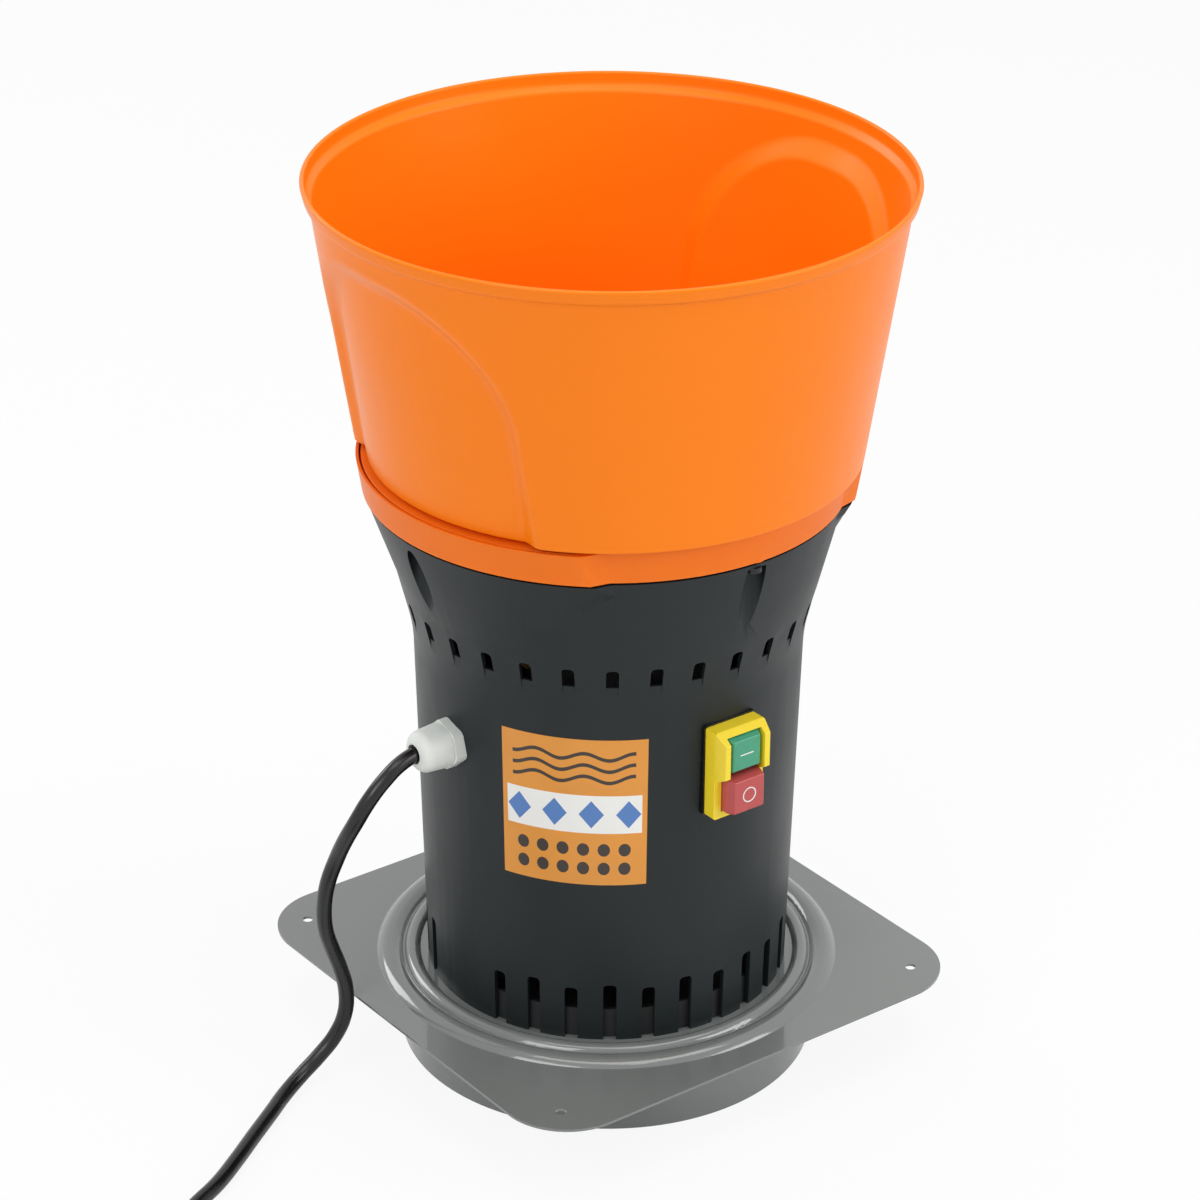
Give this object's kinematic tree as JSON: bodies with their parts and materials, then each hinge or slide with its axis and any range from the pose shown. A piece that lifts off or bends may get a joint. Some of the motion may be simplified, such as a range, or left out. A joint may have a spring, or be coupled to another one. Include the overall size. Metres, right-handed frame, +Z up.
{
  "type": "electric grain mill",
  "caption": "Electric hammer mill for grain: round turning hopper with hand recesses over a vented motor body, on a square base plate with a sieve chamber below.",
  "frame": {"origin": "on the shaft's axis at the skirt's lower edge, centre of the base", "axes": "+Z up along the shaft, -Y towards the switch, -X towards the cable gland"},
  "size_m": [0.5642, 0.3957, 0.5283],
  "materials": {
    "plate_metal": "gloss",
    "body_black": "satin",
    "hopper_orange": "satin",
    "ring_orange": "satin",
    "inner_plastic": "matt",
    "bezel_yellow": "gloss",
    "start_green": "gloss",
    "stop_red": "gloss",
    "gland_grey": "satin",
    "steel": "satin",
    "screw_steel": "satin",
    "core_steel": "matt",
    "bracket_metal": "satin",
    "copper": "satin",
    "brass": "satin",
    "black_rubber": "matt"
  },
  "bodies": {
    "mill": {"base_plate": "plate_metal", "chamber_skirt": "plate_metal", "skirt_flange": "plate_metal", "sieve_flange": "plate_metal", "sieve": "steel", "sieve_screws": "screw_steel", "motor_deck": "inner_plastic", "deck_screws": "screw_steel", "body_shell": "body_black", "body_screws": "screw_steel", "feed_chute": "inner_plastic", "feed_ring": "ring_orange", "ring_screws": "screw_steel", "pivot_washer": "steel", "pivot_screw": "screw_steel", "stator_core": "core_steel", "field_coils": "copper", "lower_bracket": "bracket_metal", "upper_bracket": "bracket_metal", "motor_bolts": "screw_steel", "lower_bearing": "steel", "upper_bearing": "steel", "shaft_seal": "black_rubber", "brush_holders": "brass", "brushes": "inner_plastic", "switch_gasket": "black_rubber", "switch_bezel": "bezel_yellow", "switch_block": "inner_plastic", "gland_body": "gland_grey", "gland_nut": "gland_grey", "gland_seal": "black_rubber", "gland_locknut": "gland_grey", "mains_cord": "black_rubber", "cord_coil": "black_rubber", "cord_tie": "inner_plastic", "plug_body": "black_rubber", "plug_pins": "brass"},
    "rotor": {"shaft": "steel", "armature_core": "core_steel", "armature_winding": "copper", "commutator": "copper", "cooling_fan": "inner_plastic", "knife_hub": "steel", "knife": "steel", "knife_washer": "steel", "knife_nut": "screw_steel"},
    "hopper": {"hopper_shell": "hopper_orange", "gate_disc": "hopper_orange", "gate_screws": "screw_steel"},
    "start": {"start_button": "start_green"},
    "stop": {"stop_button": "stop_red"}
  },
  "joints": [
    {"name": "rotor_spin", "type": "hinge", "parent": "mill", "child": "rotor", "pos_m": [0, 0, 0.1], "axis": [0, 0, 1], "continuous": true},
    {"name": "hopper_turn", "type": "hinge", "parent": "mill", "child": "hopper", "pos_m": [0, 0, 0.368], "axis": [0, 0, 1], "range_deg": [0, 40]},
    {"name": "start_press", "type": "slide", "parent": "mill", "child": "start", "axis": [0, 1, 0], "range_m": [0, 0.0035], "stiffness_N_per_m": 900},
    {"name": "stop_press", "type": "slide", "parent": "mill", "child": "stop", "axis": [0, 1, 0], "range_m": [0, 0.0035], "stiffness_N_per_m": 900}
  ]
}
